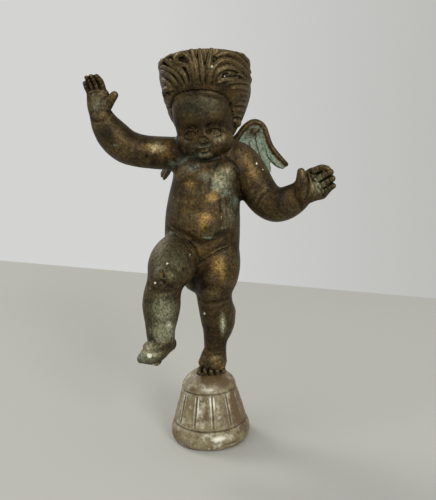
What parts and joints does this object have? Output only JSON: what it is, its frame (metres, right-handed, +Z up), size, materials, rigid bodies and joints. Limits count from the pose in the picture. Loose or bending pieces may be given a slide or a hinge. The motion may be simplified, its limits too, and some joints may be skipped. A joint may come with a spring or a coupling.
{
  "type": "winged putto statue",
  "caption": "Small cast winged putto dancing on one foot, arms raised and hair swept up to a flat top, on a bell-shaped pedestal with panels.",
  "frame": {"origin": "centre of the pedestal's flat underside", "axes": "+Z up through the figure to the flat top of the hair; the figure faces -Y; +X towards the figure's left hand"},
  "size_m": [0.1507, 0.096, 0.247],
  "materials": {
    "bronze": "dark brown cast patina, rubbed golden on the high spots, verdigris in the hollows",
    "cream_coat": "worn cream coat over brown metal, matt"
  },
  "bodies": {
    "root": {"cherub": "bronze", "bell_pedestal": "cream_coat"}
  },
  "joints": []
}
